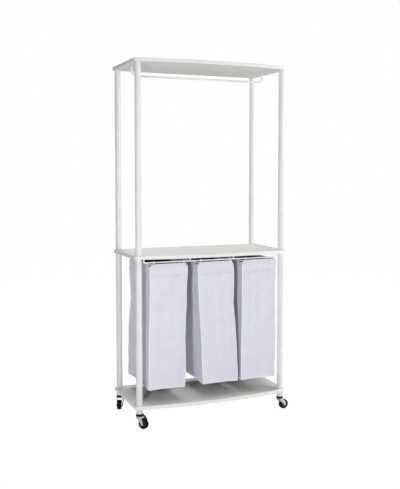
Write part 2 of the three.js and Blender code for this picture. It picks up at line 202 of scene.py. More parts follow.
# White binding tape, its colour raised further as a painted highlight so the cords also read bright
# on the shaded edges.
BINDING_AND_HIGHLIGHT = cloth("binding_tape_and_highlight", (0.92, 0.92, 0.95), (0.95, 0.95, 0.97), 0.0008)
THREAD = thread()
ZINC = zinc()
COLLAR = moulded("white_plastic", (0.74, 0.72, 0.80), (0.77, 0.75, 0.83), 0.4)
BLACK = moulded("black_plastic", (0.004, 0.004, 0.004), (0.008, 0.008, 0.009), 0.40, shine=0.2)
HUB = moulded("hub_plastic", (0.016, 0.016, 0.018), (0.026, 0.026, 0.028), 0.48, shine=0.3)
TREAD = moulded("wheel_tread", (0.003, 0.003, 0.003), (0.007, 0.007, 0.007), 0.60, 600, 0.15)


# ---- mesh helpers ----
def from_data(name, vertices, faces, *materials):
    """A smooth object from lists of vertices and faces, with its faces turned outwards."""
    mesh = bpy.data.meshes.new(name)
    mesh.from_pydata([tuple(v) for v in vertices], [], faces)
    mesh.update()
    bm = bmesh.new()
    bm.from_mesh(mesh)
    bmesh.ops.recalc_face_normals(bm, faces=bm.faces)
    bm.to_mesh(mesh)
    bm.free()
    for polygon in mesh.polygons:
        polygon.use_smooth = True
    obj = bpy.data.objects.new(name, mesh)
    bpy.context.scene.collection.objects.link(obj)
    for material in materials:
        mesh.materials.append(material)
    return obj


def bevel(obj, width, segments, angle=35):
    """Rounds the edges sharper than angle and smooths the shading across them."""
    modifier = obj.modifiers.new("round", "BEVEL")
    modifier.width = width
    modifier.segments = segments
    modifier.limit_method = "ANGLE"
    modifier.angle_limit = math.radians(angle)
    modifier.miter_outer = "MITER_ARC"
    weighted = obj.modifiers.new("normals", "WEIGHTED_NORMAL")
    weighted.keep_sharp = False
    weighted.weight = 80
    return obj


def lathe(profile, sides, transform=Matrix(), closed=False):
    """Vertices and faces of a turned solid about Z; profile is a list of (radius, height)."""
    rings = []
    vertices = []
    for radius, height in profile:
        start = len(vertices)
        if radius < 1e-7:
            vertices.append(Vector((0, 0, height)))
            rings.append([start] * sides)
            continue
        for i in range(sides):
            angle = 2 * math.pi * i / sides
            vertices.append(Vector((radius * math.cos(angle), radius * math.sin(angle), height)))
        rings.append([start + i for i in range(sides)])
    faces = []
    pairs = list(zip(rings, rings[1:]))
    if closed:
        pairs.append((rings[-1], rings[0]))
    for low, high in pairs:
        for i in range(sides):
            j = (i + 1) % sides
            face = [low[i], low[j], high[j], high[i]]
            face = [v for k, v in enumerate(face) if v not in face[:k]]
            if len(face) > 2:
                faces.append(face)
    return [transform @ v for v in vertices], faces


def turned(name, profile, sides, material, transform, closed=False):
    return from_data(name, *lathe(profile, sides, transform, closed), material)


def slab(outline, low, high, transform=Matrix()):
    """Vertices and faces of a flat piece: an outline of (x, y) pairs from z low to z high."""
    count = len(outline)
    vertices = [Vector((x, y, z)) for z in (low, high) for x, y in outline]
    faces = [list(range(count))[::-1], list(range(count, 2 * count))]
    for i in range(count):
        j = (i + 1) % count
        faces.append([i, j, count + j, count + i])
    return [transform @ v for v in vertices], faces


def joined(*parts):
    """Several (vertices, faces) lists as one."""
    vertices, faces = [], []
    for part_vertices, part_faces in parts:
        start = len(vertices)
        vertices += part_vertices
        faces += [[start + v for v in face] for face in part_faces]
    return vertices, faces


def tube(points, radius, sides=12, closed=False, up=None):
    """Vertices and faces of a round wire through points; up is its first normal, if given."""
    count = len(points)
    points = [Vector(p) for p in points]
    normal = Vector(up) if up else None
    rings = []
    for i, point in enumerate(points):
        before = points[i - 1] if closed or i else point
        after = points[(i + 1) % count] if closed or i < count - 1 else point
        tangent = (after - before).normalized()
        if normal is None:
            normal = tangent.orthogonal()
        normal = (normal - tangent * normal.dot(tangent)).normalized()
        side = tangent.cross(normal)
        rings.append([
            point + (side * math.cos(a) + normal * math.sin(a)) * radius
            for a in (2 * math.pi * k / sides for k in range(sides))
        ])
    vertices = [v for ring in rings for v in ring]
    faces = []
    for i in range(count if closed else count - 1):
        j = (i + 1) % count
        for k in range(sides):
            n = (k + 1) % sides
            faces.append([i * sides + k, i * sides + n, j * sides + n, j * sides + k])
    if not closed:
        faces.append(list(range(sides))[::-1])
        faces.append(list(range((count - 1) * sides, count * sides)))
    return vertices, faces


def bent(corners, radius, steps=8, closed=False):
    """A path with each corner replaced by an arc-like bend of that radius."""
    corners = [Vector(c) for c in corners]
    path = []
    for i, corner in enumerate(corners):
        if not closed and i in (0, len(corners) - 1):
            path.append(corner)
            continue
        u = (corners[i - 1] - corner).normalized()
        v = (corners[(i + 1) % len(corners)] - corner).normalized()
        centre = corner + (u + v) * radius
        for s in range(steps + 1):
            angle = math.pi / 2 * s / steps
            path.append(centre - v * (radius * math.cos(angle)) - u * (radius * math.sin(angle)))
    return path


def quadratic(a, b, c, steps):
    """Points (x, y) along the curve from a to c that b pulls."""
    a, b, c = Vector(a), Vector(b), Vector(c)
    shares = (k / steps for k in range(steps + 1))
    points = [(1 - t) ** 2 * a + 2 * t * (1 - t) * b + t * t * c for t in shares]
    return [(p.x, p.y) for p in points]


def cut_with(obj, part, name, operation="DIFFERENCE"):
    """Takes a (vertices, faces) solid away from obj for good, or keeps only what they share."""
    cutter = from_data(name, *part)
    modifier = obj.modifiers.new(name, "BOOLEAN")
    modifier.operation = operation
    modifier.object = cutter
    modifier.solver = "EXACT"
    bake(obj)
    bpy.data.objects.remove(cutter)


def drilled(solid, cutter, name):
    """One (vertices, faces) solid with another taken away."""
    obj = from_data(name, *solid)
    cut_with(obj, cutter, f"{name}_cut")
    result = [v.co.copy() for v in obj.data.vertices], [list(p.vertices) for p in obj.data.polygons]
    bpy.data.objects.remove(obj)
    return result


def bake(obj):
    """Replaces obj's mesh with the one its modifiers give, and drops the modifiers."""
    graph = bpy.context.evaluated_depsgraph_get()
    graph.update()
    mesh = bpy.data.meshes.new_from_object(obj.evaluated_get(graph))
    obj.modifiers.clear()
    obj.data = mesh


def attach(obj, body, node=None):
    """Ties obj to a body of the frame, in place of that CAD node if it stands for one."""
    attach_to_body(obj, body)
    if node:
        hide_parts(node)


# ---- boards ----
BOW = 38 * MM  # how far the middle of a board's front stands out from its ends
FRONT_CORNER = 26 * MM
BACK_CORNER = 16 * MM
EDGE_ROUND = 2.2 * MM  # of the edge band


def board_outline(low, high):
    """Straight back and ends, a front that bows towards -Y, and rounded corners."""
    half = (high.x - low.x) / 2
    centre = (high.x + low.x) / 2
    corner_y = low.y + BOW

    def front(x):
        return corner_y - BOW * (1 - (x / half) ** 2)

    r, b = FRONT_CORNER, BACK_CORNER
    inner = half - r
    left = quadratic((-half, corner_y + 0.8 * r), (-half, corner_y), (-inner, front(-inner)), 10)
    along = [(x, front(x)) for x in (-inner + 2 * inner * k / 60 for k in range(1, 60))]
    right = quadratic((inner, front(inner)), (half, corner_y), (half, corner_y + 0.8 * r), 10)
    back_right = quadratic((half, high.y - b), (half, high.y), (half - b, high.y), 8)
    back_left = quadratic((-half + b, high.y), (-half, high.y), (-half, high.y - b), 8)
    outline = left + along + right + back_right + back_left
    return [(x + centre, y) for x, y in outline]


def board(node):
    """Laminate board; its edge band is the same laminate painted lighter than its faces, a painted
    highlight for the light on the edges.
    """
    low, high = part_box(node)
    outline = board_outline(low, high)
    name = node.replace("_shelf", "_board")
    obj = from_data(name, *slab(outline, low.z, high.z), BOARD_FACE, BOARD_EDGE_LIT)
    for polygon in obj.data.polygons:
        # vertical sides take the lighter edge copy: painted light
        polygon.material_index = 0 if abs(polygon.normal.z) > 0.5 else 1
    bevel(obj, EDGE_ROUND, 4)
    obj.modifiers["round"].material = 1
    attach(obj, "stand", node)


# ---- posts, bar and rails ----
BAR_R = 5 * MM
BAR_BEND = 30 * MM
RAIL_R = 3 * MM
RAIL_BEND = 9 * MM
STRUT_X = 118 * MM  # the rails' middle feet, from the middle of the cart
POST_BORE = 4.2 * MM
POST_EDGE = 0.7 * MM  # chamfer at each end of a post
COLLAR_BORE = 4.5 * MM


def upright(node):
    """Radius, height and place of a turned piece that fills the CAD node's box."""
    low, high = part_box(node)
    centre = (low + high) / 2
    return (high.x - low.x) / 2, high.z - low.z, Matrix.Translation((centre.x, centre.y, low.z))


def post(node, name):
    """Coated tube with chamfered ends."""
    r, h, place = upright(node)
    edge = POST_EDGE
    profile = [
        (POST_BORE, 0), (r - 2.2 * MM, 0), (r - 2 * MM, 0), (r - edge, 0),
        (r, edge), (r, h - edge), (r - edge, h), (POST_BORE, h),
    ]
    obj = turned(name, profile, 64, COAT, place, closed=True)
    bevel(obj, 0.3 * MM, 2)
    attach(obj, "stand", node)


def collar(corner):
    """Plastic foot under a post, with a groove round it."""
    node = f"foot_collar_{corner}"
    r, h, place = upright(node)
    profile = [
        (COLLAR_BORE, 0), (r - 1.2 * MM, 0), (r - 0.3 * MM, 0.4 * MM), (r, 1.3 * MM), (r, h * 0.22),
        (r - 0.6 * MM, h * 0.24), (r - 0.6 * MM, h * 0.28), (r, h * 0.30),
        (r, h - 0.8 * MM), (r - 0.8 * MM, h), (COLLAR_BORE, h),
    ]
    obj = turned(f"collar_{corner}", profile, 48, COLLAR, place, closed=True)
    bevel(obj, 0.2 * MM, 2)
    attach(obj, "stand", node)


def screw_head(corner):
    """Domed head with a cross recess, and its shank."""
    node = f"top_screw_{corner}"
    low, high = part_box(node)
    centre = (low + high) / 2
    head = (high.x - low.x) / 2
    base = high.z - 3.6 * MM
    shank = 3.9 * MM
    profile = [(0, low.z), (shank - MM, low.z), (shank, low.z + MM), (shank, base), (head, base)]
    profile += [
        (head * math.cos(a) ** 0.6, base + 0.8 * MM + 2.8 * MM * math.sin(a))
        for a in (math.pi / 2 * k / 9 for k in range(9))
    ]
    profile.append((0, high.z))
    place = Matrix.Translation((centre.x, centre.y, 0))
    obj = turned(f"cap_screw_{corner}", profile, 40, ZINC, place)
    half, thin = 3.4 * MM, 0.6 * MM
    arm = [(-half, -thin), (half, -thin), (half, thin), (-half, thin)]
    for index, turn in enumerate((0, math.pi / 2)):
        spin = place @ Matrix.Rotation(turn + 0.3, 4, "Z")
        cut_with(obj, slab(arm, high.z - 1.6 * MM, high.z + 2 * MM, spin), f"recess_{index}")
    bevel(obj, 0.15 * MM, 1)
    attach(obj, "stand", node)


def hung_rod(node, name, material, radius, bend, struts=()):
    """Rod with both ends bent up to the board above; struts are its other feet, from its middle."""
    low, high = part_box(node)
    y = (low.y + high.y) / 2
    z = low.z + radius
    x0, x1 = low.x + radius, high.x - radius
    path = bent([(x0, y, high.z), (x0, y, z), (x1, y, z), (x1, y, high.z)], bend, 14)
    parts = [tube(path, radius, 20, up=(0, 1, 0))]
    for offset in struts:
        x = (x0 + x1) / 2 + offset
        foot = [
            (0, z), (radius, z), (radius * 1.35, z + radius * 0.8), (radius, z + radius * 1.5),
            (radius, high.z), (0, high.z),
        ]
        parts.append(lathe(foot, 20, Matrix.Translation((x, y, 0))))
    obj = from_data(name, *joined(*parts), material)
    attach(obj, "stand", node)


# ---- bags ----
LOOP_X = 92.2 * MM  # half size of the wire loop, along its centre line
LOOP_Y = 166.7 * MM
LOOP_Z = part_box("bag_frame_left")[0].z + 2.5 * MM
LOOP_BEND = 9 * MM
WIRE_R = 2.5 * MM
HOOK_R = 1.9 * MM
HOOK_X = 78 * MM  # from the middle of the loop
HOOK_REACH = 8 * MM  # of a hook's bend, from the rail's centre
BAG_HALF_X = 96 * MM
BAG_HALF_Y = 170.5 * MM
BAG_FLOOR_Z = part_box("bag_left")[0].z + 0.5 * MM
BAG_LEAN = {"left": -13 * MM, "middle": 26 * MM, "right": -7 * MM}  # of the foot, in x
BAG_TAPER = {"left": 4.5 * MM, "middle": 2 * MM, "right": 2.5 * MM}  # each side, at the foot
SWAY = {  # soft vertical edges: (corner, share of the way down, x, y in mm)
    "left": ((3, 0.34, 9, -5), (0, 0.45, 2, 1), (1, 0.62, -2, 1)),
    "middle": ((1, 0.33, -5, 0), (0, 0.7, 2, 0), (3, 0.4, 4, -3)),
    "right": ((0, 0.35, 2, 1), (1, 0.3, -2.5, 1), (1, 0.75, 2, 0), (3, 0.5, 3, -2)),
}
SWAY_REACH = 0.17  # how far up and down an edge each sway spreads
CELL = 10.6 * MM  # cloth simulation grid
SEAM_OUT = 2.2 * MM  # stitched crease under the casing, out from the wire's centre
SEAM_Z = LOOP_Z - 7 * MM
SEWN_BEND = 3.9 * MM  # the cloth's corners are sharper than the wire's
HEM = 52 * MM  # doubled band below the seam
FLOOR_SAG = 0.12  # share of the simulated sag that the stiffened floor keeps
CLOTH_T = 0.9 * MM
HEM_T = 0.8 * MM
STITCH = 3.4 * MM
STITCH_GAP = 1.2 * MM
THREAD_R = 0.5 * MM
EDGE_CORD_R = 2.5 * MM
FOOT_CORD_R = 2.1 * MM
INNER_GAP = 1.9 * MM  # from the wall to the turned-in hem behind it
WIDEN_OVER = 24 * MM  # drop over which the bag widens from the seam to its full size
SIM_FRAMES = 45
HANGING = {  # cloth settings: the seam is held, and the floor is stiff
    "quality": 5, "mass": 0.25, "tension_stiffness": 25, "compression_stiffness": 16,
    "shear_stiffness": 5, "bending_stiffness": 0.5, "vertex_group_bending": "floor",
    "bending_stiffness_max": 120, "vertex_group_mass": "seam", "shrink_min": -0.016,
    "tension_damping": 12, "compression_damping": 12, "shear_damping": 8,
    "bending_damping": 1.0, "air_damping": 3,
}
WIDE_NOTCH = 36 * MM  # bare wire beside each corner, on the bag's long and short sides
NARROW_NOTCH = 2 * MM
CASING = (  # cloth round the wire, as (out, up) from the wire's centre in mm
    (2.6, -4.8), (4.1, -1.8), (4.2, 1.2), (2.9, 3.4), (0, 4.4),
    (-2.9, 3.4), (-4.2, 1.2), (-4.1, -1.8), (-2.6, -4.8), (-0.9, -7.0),
)


class Grid:
    """Columns run round the four walls from the front left corner, anticlockwise from above."""

    def __init__(self):
        self.nx = round(2 * BAG_HALF_X / CELL)
        self.ny = round(2 * BAG_HALF_Y / CELL)
        self.columns = 2 * (self.nx + self.ny)
        self.rows = round((SEAM_Z - BAG_FLOOR_Z) / CELL)
        self.row_step = (SEAM_Z - BAG_FLOOR_Z) / self.rows
        self.corners = [0, self.nx, self.nx + self.ny, 2 * self.nx + self.ny]

    def spot(self, column):
        """(x, y) of a column on a square ring that runs from -1 to 1 each way."""
        nx, ny = self.nx, self.ny
        if column < nx:
            return -1 + 2 * column / nx, -1.0
        if column < nx + ny:
            return 1.0, -1 + 2 * (column - nx) / ny
        if column < 2 * nx + ny:
            return 1 - 2 * (column - nx - ny) / nx, 1.0
        return -1.0, 1 - 2 * (column - 2 * nx - ny) / ny

    def plan(self, column, half_x, half_y, radius):
        """The same column on a rectangle of that size with rounded corners."""
        x, y = self.spot(column)
        x, y = x * half_x, y * half_y
        bound_x, bound_y = half_x - radius, half_y - radius
        inner = Vector((max(-bound_x, min(bound_x, x)), max(-bound_y, min(bound_y, y))))
        out = Vector((x, y)) - inner
        if out.length > 1e-9:
            out = out.normalized() * radius
        return inner + out

    def round_wire(self, column, out):
        """A place that far out from the wire loop's centre line, in plan."""
        return self.plan(column, LOOP_X + out, LOOP_Y + out, max(LOOP_BEND + out, MM))

    def from_corner(self, column):
        """Distance to the nearest corner along the wall, and whether this is a long side."""
        x, y = self.spot(column % self.columns)
        if abs(y) == 1.0:
            return (1 - abs(x)) * BAG_HALF_X, False
        return (1 - abs(y)) * BAG_HALF_Y, True


GRID = Grid()


def ease(t):
    """0 below 0, 1 above 1, and a smooth step between."""
    t = max(0.0, min(1.0, t))
    return t * t * (3 - 2 * t)


def rest_cloth(centre, lean, taper, seed):
    """Walls and floor of one bag before it hangs, with slight unevenness to start its folds."""
    n = GRID.columns
    vertices = []
    for row in range(GRID.rows + 1):
        drop = row / GRID.rows
        widen = ease(row * GRID.row_step / WIDEN_OVER)
        half_x = LOOP_X + SEAM_OUT + (BAG_HALF_X - LOOP_X - SEAM_OUT) * widen - taper * drop
        half_y = LOOP_Y + SEAM_OUT + (BAG_HALF_Y - LOOP_Y - SEAM_OUT) * widen
        for column in range(n):
            p = GRID.plan(column, half_x, half_y, SEWN_BEND)
            z = SEAM_Z + (BAG_FLOOR_Z - SEAM_Z) * drop
            away = Vector((p.x / half_x, p.y / half_y, 0))
            wave = noise.noise(Vector((p.x * 9 + seed, p.y * 9, z * 6))) * 4.5 * MM
            ripple = noise.noise(Vector((p.x * 22, p.y * 22 + seed, z * 16))) * 1.6 * MM
            amount = (wave + ripple) * ease(drop * 6) * ease((1 - drop) * 12)
            vertices.append(Vector((p.x + lean * drop, p.y, z)) + away * amount + centre)
    rim = GRID.rows * n
    spots = {}
    for column in range(n):
        x, y = GRID.spot(column)
        spots[round((x + 1) / 2 * GRID.nx), round((y + 1) / 2 * GRID.ny)] = rim + column
    for i in range(1, GRID.nx):
        for j in range(1, GRID.ny):
            spots[i, j] = len(vertices)
            x = (2 * i / GRID.nx - 1) * (BAG_HALF_X - taper) + lean
            y = (2 * j / GRID.ny - 1) * BAG_HALF_Y
            vertices.append(Vector((x, y, BAG_FLOOR_Z)) + centre)
    floor = [
        [spots[i, j], spots[i, j + 1], spots[i + 1, j + 1], spots[i + 1, j]]
        for i in range(GRID.nx) for j in range(GRID.ny)
    ]
    return from_data("cloth_at_rest", vertices, ring_faces(GRID.rows + 1, n) + floor), floor


def hang(obj, lean):
    """Lets the cloth hang from its seam with its stiffened floor, and says where vertices end."""
    n = GRID.columns
    pinned = obj.vertex_groups.new(name="seam")
    pinned.add(list(range(n)), 1.0, "REPLACE")
    stiff = obj.vertex_groups.new(name="floor")
    stiff.add(list(range(GRID.rows * n, len(obj.data.vertices))), 1.0, "REPLACE")
    modifier = obj.modifiers.new("cloth", "CLOTH")
    for key, value in HANGING.items():
        setattr(modifier.settings, key, value)
    modifier.collision_settings.use_self_collision = False
    modifier.collision_settings.use_collision = False
    scene = bpy.context.scene
    scene.gravity = (9.81 * lean / (SEAM_Z - BAG_FLOOR_Z), 0, -9.81)
    modifier.point_cache.frame_start = 1
    modifier.point_cache.frame_end = SIM_FRAMES
    for number in range(1, SIM_FRAMES + 1):
        scene.frame_set(number)
    graph = bpy.context.evaluated_depsgraph_get()
    points = [v.co.copy() for v in obj.evaluated_get(graph).data.vertices]
    bpy.data.objects.remove(obj)
    scene.frame_set(1)
    scene.gravity = (0, 0, -9.81)
    ring = points[GRID.rows * n: (GRID.rows + 1) * n]
    sunk = sum(p.z for p in ring) / n
    scale = (SEAM_Z - BAG_FLOOR_Z) / (SEAM_Z - sunk)
    for p in points:
        p.z = SEAM_Z + (p.z - SEAM_Z) * scale
    for p in points[(GRID.rows + 1) * n:]:
        p.z = BAG_FLOOR_Z + (p.z - BAG_FLOOR_Z) * FLOOR_SAG
    return points


def between(a, b, c, d):
    """The point midway from b to c on the smooth curve through all four."""
    return (9 * (b + c) - a - d) / 16


def refined(grid):
    """Twice as many rows and columns on the same smooth surface."""
    n = len(grid[0])
    wide = []
    for row in grid:
        line = []
        for k in range(n):
            line += [row[k], between(row[k - 1], row[k], row[(k + 1) % n], row[(k + 2) % n])]
        wide.append(line)
    tall = [wide[0]]
    for k in range(len(wide) - 1):
        a, b, c, d = (wide[max(0, min(len(wide) - 1, k + i))] for i in (-1, 0, 1, 2))
        tall += [[between(*four) for four in zip(a, b, c, d)], c]
    return tall


def creases(seed):
    """Folds in the walls as (s, t, ds, dt, depth, width), each from its start to its end."""
    rng = random.Random(seed)
    step_x, step_y = 2 * BAG_HALF_X, 2 * BAG_HALF_Y
    corners = [0, step_x, step_x + step_y, 2 * step_x + step_y]
    tall = SEAM_Z - BAG_FLOOR_Z
    result = []

    def fold(start, top, angle, length, depth, width):
        slant = math.radians(angle)
        ds, dt = math.sin(slant) * length, math.cos(slant) * length
        depth *= rng.choice((-1, 1)) * MM
        result.append((start, top, ds, dt, depth, width * MM))

    for corner, wall in zip(corners, (step_x, step_y, step_x, step_y)):
        for side, edge in ((1, corner), (-1, corner + wall)):
            for height in (0.02, 0.04, 0.07, 0.93):
                angle = rng.uniform(30, 70) + (0 if height < 0.5 else 75)
                start = edge + side * rng.uniform(2, 25) * MM
                fold(start, height * tall, side * angle, rng.uniform(45, 110) * MM,
                     rng.uniform(1.2, 2.4), rng.uniform(4.5, 7))
            for k in range(9):
                top = (0.1 + 0.095 * k + rng.uniform(0, 0.08)) * tall
                fold(edge + side * 3 * MM, top, side * rng.uniform(60, 125),
                     rng.uniform(16, 52) * MM, rng.uniform(0.9, 2.2), rng.uniform(3.6, 5.5))
        for place in (0.3, 0.62):
            start = corner + wall * (place + rng.uniform(-0.1, 0.1))
            fold(start, rng.uniform(0.1, 0.35) * tall, rng.uniform(-8, 8),
                 rng.uniform(0.25, 0.5) * tall, rng.uniform(1.2, 2.4), rng.uniform(8, 14))
    return result


def wrinkle(s, t, seed, folds):
    """How far the cloth stands out at s round the bag and t down it."""
    around = 4 * (BAG_HALF_X + BAG_HALF_Y)
    tall = SEAM_Z - BAG_FLOOR_Z
    calm = ease(t / (30 * MM)) * ease((tall - t) / (25 * MM))
    below = ease(t / (12 * MM))
    turn = 2 * math.pi * s / around
    x, y = math.cos(turn) * around / 6.28, math.sin(turn) * around / 6.28
    height = noise.noise(Vector((x * 9, y * 9, t * 4.5 + seed))) * 1.3 * MM * calm
    height += noise.noise(Vector((x * 26, y * 26, t * 17 + seed))) * 1.2 * MM * below
    height += noise.noise(Vector((x * 60 + 9, y * 60, t * 44 + seed))) * 0.45 * MM * below
    for s0, t0, ds, dt, depth, width in folds:
        away = (s - s0 + around / 2) % around - around / 2
        length = math.hypot(ds, dt)
        along = (away * ds + (t - t0) * dt) / length
        if -0.1 * length < along < length:
            across = (away * dt - (t - t0) * ds) / length
            taper = math.sin(math.pi * (along / length + 0.1) / 1.1)
            height += depth * taper * math.exp(-(across / width) ** 2)
    return height


def sway(side, column, drop):
    """How far the vertical edges pull the cloth aside there, fading along the walls beside them."""
    shift = Vector((0, 0, 0))
    for corner, place, x, y in SWAY[side]:
        start = GRID.corners[corner]
        away = abs((column - start + GRID.columns / 2) % GRID.columns - GRID.columns / 2)
        near = ease(1 - away / GRID.nx)
        shift += Vector((x, y, 0)) * MM * near * math.exp(-((drop - place) / SWAY_REACH) ** 2)
    return shift


def hanging_walls(points, side, seed):
    """The walls at twice the simulation's detail, with fine folds, and their outward directions."""
    n = GRID.columns
    grid = refined([points[row * n: (row + 1) * n] for row in range(GRID.rows + 1)])
    count = len(grid[0])
    for r, row in enumerate(grid):
        for k in range(count):
            row[k] = row[k] + sway(side, k / 2, r / (len(grid) - 1))
    folds = creases(round(seed * 10))
    outs = []
    for r, row in enumerate(grid):
        above, below = grid[max(r - 1, 0)], grid[min(r + 1, len(grid) - 1)]
        outs.append([
            (row[(k + 1) % count] - row[k - 1]).cross(above[k] - below[k]).normalized()
            for k in range(count)
        ])
    for r, row in enumerate(grid):
        for k in range(count):
            height = wrinkle(k * CELL / 2, r * GRID.row_step / 2, seed, folds)
            row[k] = row[k] + outs[r][k] * height
    return grid, outs


def ring_faces(rows, count, keep=None):
    """Quads between stacked closed rings; keep(row, column) says which to make."""
    faces = []
    for row in range(rows - 1):
        for k in range(count):
            if keep is None or keep(row, k):
                right = (k + 1) % count
                low, high = row * count, (row + 1) * count
                faces.append([low + k, high + k, high + right, low + right])
    return faces


def lay_flat(obj, count, step):
    """UVs in metres along and down the cloth, so that the weave runs true on every side."""
    layer = obj.data.uv_layers.new(name="flat")
    walls = (len(obj.data.vertices) // count) * count
    for polygon in obj.data.polygons:
        columns = [v % count for v in polygon.vertices]
        wraps = max(columns) - min(columns) > count / 2
        on_wall = all(v < walls for v in polygon.vertices)
        for loop in polygon.loop_indices:
            vertex = obj.data.loops[loop].vertex_index
            if on_wall:
                column = vertex % count
                u = (column + (count if wraps and column < count / 2 else 0)) * CELL / 2
                layer.data[loop].uv = (u, (vertex // count) * step)
            else:
                at = obj.data.vertices[vertex].co
                layer.data[loop].uv = (at.x, at.y)


def thicken(obj, thickness, outwards=False):
    """Gives thin cloth its thickness, with the second material inside where there is one."""
    modifier = obj.modifiers.new("thickness", "SOLIDIFY")
    modifier.thickness = thickness
    modifier.offset = 1 if outwards else -1
    modifier.use_even_offset = False
    if len(obj.data.materials) > 1:
        modifier.material_offset = 1
    bake(obj)


def stitches(path, length, gap, radius):
    """Short threads laid end to end along a path of (point, outward) pairs."""
    parts = []
    travelled, target = 0.0, 0.0
    for (a, out_a), (b, out_b) in zip(path, path[1:]):
        step = (b - a).length
        along = (b - a).normalized()
        while target < travelled + step:
            t = (target - travelled) / step
            start = a.lerp(b, t)
            lift = out_a.lerp(out_b, t).normalized() * radius
            parts.append(tube(
                [start - lift * 0.2, start + along * (0.25 * length) + lift * 0.7,
                 start + along * (0.75 * length) + lift * 0.7, start + along * length - lift * 0.2],
                radius, 5,
            ))
            target += length + gap
        travelled += step
    return joined(*parts)


def bag_shell(side, grid, outs, floor_points, floor_faces, centre):
    """Walls, floor, the casing over the wire with its corner notches, and the turned-in hem."""
    count = len(grid[0])
    inner = [
        [p - o * INNER_GAP for p, o in zip(grid[row], outs[row])]
        for row in range(round(HEM / (GRID.row_step / 2)), 1, -1)
    ]
    casing = []
    for out, up in reversed(CASING):
        spots = (GRID.round_wire(k / 2, out * MM) for k in range(count))
        casing.append([Vector((*spot, LOOP_Z + up * MM)) + centre for spot in spots])
    above = inner + casing
    rings = above + grid

    def keep(row, k):
        distance, long_side = GRID.from_corner((k + 0.5) / 2)
        if not len(inner) <= row < len(above):
            return True
        hook = not long_side and abs(BAG_HALF_X - distance - HOOK_X) < 0.35 * CELL
        on_top = len(inner) + 2 <= row < len(above) - 2
        return distance > (WIDE_NOTCH if long_side else NARROW_NOTCH) and not (hook and on_top)

    faces = ring_faces(len(rings), count, keep)
    last = (len(rings) - 1) * count
    base = len(rings) * count
    first_free = (GRID.rows + 1) * GRID.columns
    rim = GRID.rows * GRID.columns
    for face in floor_faces:
        faces.append([
            last + 2 * (v - rim) if v < first_free else base + v - first_free for v in face
        ])
    vertices = [p for ring in rings for p in ring] + floor_points
    shell = from_data(f"bag_{side}_cloth", vertices, faces, BAG_CLOTH, BAG_INSIDE_SHADE)
    for polygon in shell.data.polygons:
        # The turned-in hem takes the near-black inside cloth: painted shade.
        if max(polygon.vertices) < (len(inner) + 1) * count:
            polygon.material_index = 1
    lay_flat(shell, count, GRID.row_step / 2)
    thicken(shell, CLOTH_T)
    return shell


def bag_hem(side, grid, outs):
    """The doubled band below the casing, and the rings of points that it is laid on."""
    count = len(grid[0])
    step = GRID.row_step / 2
    rows = round(HEM / step)
    band = [
        [p + o * (0.25 * MM + (0.45 * MM if 0 < r < rows else 0)) for p, o in zip(grid[r], outs[r])]
        for r in range(rows + 1)
    ]
    points = [p for ring in band for p in ring]
    hem = from_data(f"bag_{side}_hem", points, ring_faces(rows + 1, count), BAG_CLOTH)
    lay_flat(hem, count, step)
    thicken(hem, HEM_T, outwards=True)
    return hem, band


def bag_stitching(side, band, outs):
    """A line of stitches one row above the band's lower edge."""
    row = len(band) - 2
    line = [(p + o * 1.5 * MM, o) for p, o in zip(band[row], outs[row])]
    threads = stitches(line + line[:1], STITCH, STITCH_GAP, THREAD_R)
    return from_data(f"bag_{side}_stitching", *threads, THREAD)


def bag_binding(side, grid, outs):
    """Bound edges: a cord down each vertical edge and one round the floor."""
    cords = []
    for corner in GRID.corners:
        edge = [row[2 * corner] + out[2 * corner] * 1.2 * MM for row, out in zip(grid, outs)]
        cords.append(tube(edge, EDGE_CORD_R, 8))
    foot = [
        p + Vector((o.x, o.y, 0)) * 1.0 * MM - Vector((0, 0, 0.6 * MM))
        for p, o in zip(grid[-1], outs[-1])
    ]
    cords.append(tube(foot, FOOT_CORD_R, 8, closed=True))
    binding = from_data(f"bag_{side}_binding", *joined(*cords), BINDING_AND_HIGHLIGHT)
    layer = binding.data.uv_layers.new(name="flat")
    for loop in binding.data.loops:
        at = binding.data.vertices[loop.vertex_index].co
        layer.data[loop.index].uv = (at.x + at.y, at.z)
    return binding


def build_bag(side, seed):
    wire_low, wire_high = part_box(f"bag_frame_{side}")
    centre = Vector(((wire_low.x + wire_high.x) / 2, (wire_low.y + wire_high.y) / 2, 0))
    lean = BAG_LEAN[side]
    cloth_at_rest, floor_faces = rest_cloth(centre, lean, BAG_TAPER[side], seed)
    points = hang(cloth_at_rest, lean)
    grid, outs = hanging_walls(points, side, seed)
    free_floor = points[(GRID.rows + 1) * GRID.columns:]
    shell = bag_shell(side, grid, outs, free_floor, floor_faces, centre)
    hem, band = bag_hem(side, grid, outs)
    seam = bag_stitching(side, band, outs)
    binding = bag_binding(side, grid, outs)
    attach(shell, f"bag_{side}_unit", f"bag_{side}")
    for obj in (hem, seam, binding):
        attach(obj, f"bag_{side}_unit")


